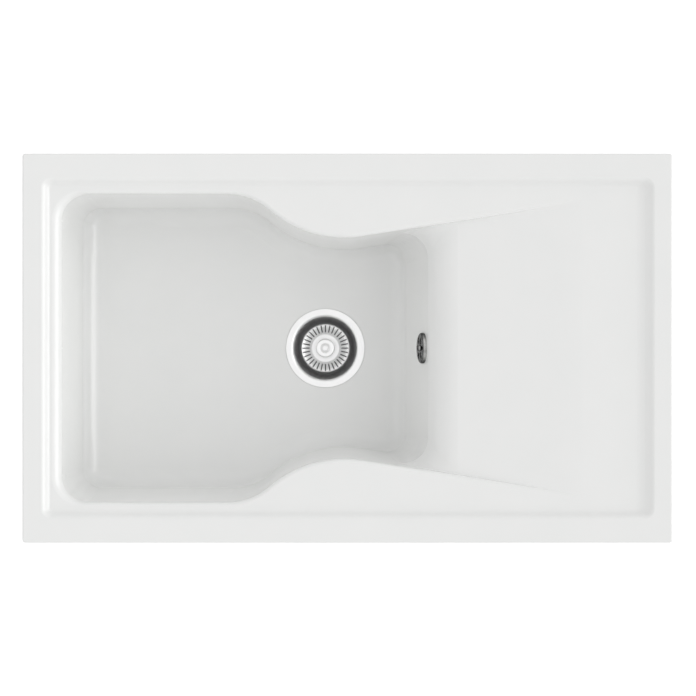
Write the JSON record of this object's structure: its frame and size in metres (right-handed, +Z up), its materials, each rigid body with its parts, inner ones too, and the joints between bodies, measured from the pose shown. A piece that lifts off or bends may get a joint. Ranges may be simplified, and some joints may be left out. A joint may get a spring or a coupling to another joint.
{
  "type": "inset kitchen sink",
  "caption": "White inset kitchen sink with a waisted bowl, sloping drainer, lift-out strainer basket, overflow and underside worktop clips.",
  "frame": {"origin": "middle of the sink's rim in plan, on the worktop's top face under the rim seal", "axes": "+X along the length towards the drainer, +Y towards the back, +Z up"},
  "size_m": [0.86, 0.515, 0.294],
  "materials": {
    "white_basin": "gloss white, moulded",
    "polished_steel": "polished stainless",
    "black_rose": "satin black plating",
    "waste_plastic": "moulded polypropylene",
    "black_rubber": "moulded",
    "seal_foam": "closed-cell foam",
    "brass": "turned",
    "zinc_steel": "zinc plated",
    "jaw_plastic": "glass-filled nylon"
  },
  "bodies": {
    "root": {"basin": "white_basin", "rim_seal": "seal_foam", "waste_flange": "polished_steel", "flange_gasket": "black_rubber", "body_gasket": "black_rubber", "waste_body": "waste_plastic", "waste_screw": "polished_steel", "waste_nut": "brass", "overflow_rose": "black_rose", "overflow_screw": "black_rose", "overflow_gasket": "black_rubber", "overflow_elbow": "waste_plastic", "overflow_pipe": "waste_plastic", "overflow_upper_washer": "black_rubber", "overflow_upper_nut": "waste_plastic", "overflow_lower_washer": "black_rubber", "overflow_lower_nut": "waste_plastic", "clip_inserts": "brass", "clip_studs": "zinc_steel"},
    "basket": {"strainer_basket": "polished_steel", "basket_knob": "polished_steel", "knob_screw": "polished_steel", "basket_seal": "black_rubber", "seal_nut": "polished_steel"},
    "wing_nut_1": {"wing_nut_1": "zinc_steel"},
    "clip_jaw_1": {"clip_jaw_1": "jaw_plastic"},
    "wing_nut_2": {"wing_nut_2": "zinc_steel"},
    "clip_jaw_2": {"clip_jaw_2": "jaw_plastic"},
    "wing_nut_3": {"wing_nut_3": "zinc_steel"},
    "clip_jaw_3": {"clip_jaw_3": "jaw_plastic"},
    "wing_nut_4": {"wing_nut_4": "zinc_steel"},
    "clip_jaw_4": {"clip_jaw_4": "jaw_plastic"},
    "wing_nut_5": {"wing_nut_5": "zinc_steel"},
    "clip_jaw_5": {"clip_jaw_5": "jaw_plastic"},
    "wing_nut_6": {"wing_nut_6": "zinc_steel"},
    "clip_jaw_6": {"clip_jaw_6": "jaw_plastic"},
    "wing_nut_7": {"wing_nut_7": "zinc_steel"},
    "clip_jaw_7": {"clip_jaw_7": "jaw_plastic"},
    "wing_nut_8": {"wing_nut_8": "zinc_steel"},
    "clip_jaw_8": {"clip_jaw_8": "jaw_plastic"}
  },
  "joints": [
    {"name": "basket_lift", "type": "slide", "parent": "root", "child": "basket", "axis": [0, 0, 1], "range_m": [0, 0.25]},
    {"name": "clip_travel_1", "type": "slide", "parent": "root", "child": "wing_nut_1", "axis": [0, 0, 1], "range_m": [-0.008, 0.01]},
    {"name": "jaw_swing_1", "type": "hinge", "parent": "wing_nut_1", "child": "clip_jaw_1", "pos_m": [-0.2924, -0.2315, -0.05], "axis": [0, 0, 1], "range_deg": [-90, 90]},
    {"name": "clip_travel_2", "type": "slide", "parent": "root", "child": "wing_nut_2", "axis": [0, 0, 1], "range_m": [-0.008, 0.01]},
    {"name": "jaw_swing_2", "type": "hinge", "parent": "wing_nut_2", "child": "clip_jaw_2", "pos_m": [0, -0.2315, -0.05], "axis": [0, 0, 1], "range_deg": [-90, 90]},
    {"name": "clip_travel_3", "type": "slide", "parent": "root", "child": "wing_nut_3", "axis": [0, 0, 1], "range_m": [-0.008, 0.01]},
    {"name": "jaw_swing_3", "type": "hinge", "parent": "wing_nut_3", "child": "clip_jaw_3", "pos_m": [0.2924, -0.2315, -0.05], "axis": [0, 0, 1], "range_deg": [-90, 90]},
    {"name": "clip_travel_4", "type": "slide", "parent": "root", "child": "wing_nut_4", "axis": [0, 0, 1], "range_m": [-0.008, 0.01]},
    {"name": "jaw_swing_4", "type": "hinge", "parent": "wing_nut_4", "child": "clip_jaw_4", "pos_m": [0.404, 0, -0.05], "axis": [0, 0, 1], "range_deg": [-90, 90]},
    {"name": "clip_travel_5", "type": "slide", "parent": "root", "child": "wing_nut_5", "axis": [0, 0, 1], "range_m": [-0.008, 0.01]},
    {"name": "jaw_swing_5", "type": "hinge", "parent": "wing_nut_5", "child": "clip_jaw_5", "pos_m": [0.2924, 0.2315, -0.05], "axis": [0, 0, 1], "range_deg": [-90, 90]},
    {"name": "clip_travel_6", "type": "slide", "parent": "root", "child": "wing_nut_6", "axis": [0, 0, 1], "range_m": [-0.008, 0.01]},
    {"name": "jaw_swing_6", "type": "hinge", "parent": "wing_nut_6", "child": "clip_jaw_6", "pos_m": [0, 0.2315, -0.05], "axis": [0, 0, 1], "range_deg": [-90, 90]},
    {"name": "clip_travel_7", "type": "slide", "parent": "root", "child": "wing_nut_7", "axis": [0, 0, 1], "range_m": [-0.008, 0.01]},
    {"name": "jaw_swing_7", "type": "hinge", "parent": "wing_nut_7", "child": "clip_jaw_7", "pos_m": [-0.2924, 0.2315, -0.05], "axis": [0, 0, 1], "range_deg": [-90, 90]},
    {"name": "clip_travel_8", "type": "slide", "parent": "root", "child": "wing_nut_8", "axis": [0, 0, 1], "range_m": [-0.008, 0.01]},
    {"name": "jaw_swing_8", "type": "hinge", "parent": "wing_nut_8", "child": "clip_jaw_8", "pos_m": [-0.404, 0, -0.05], "axis": [0, 0, 1], "range_deg": [-90, 90]}
  ]
}
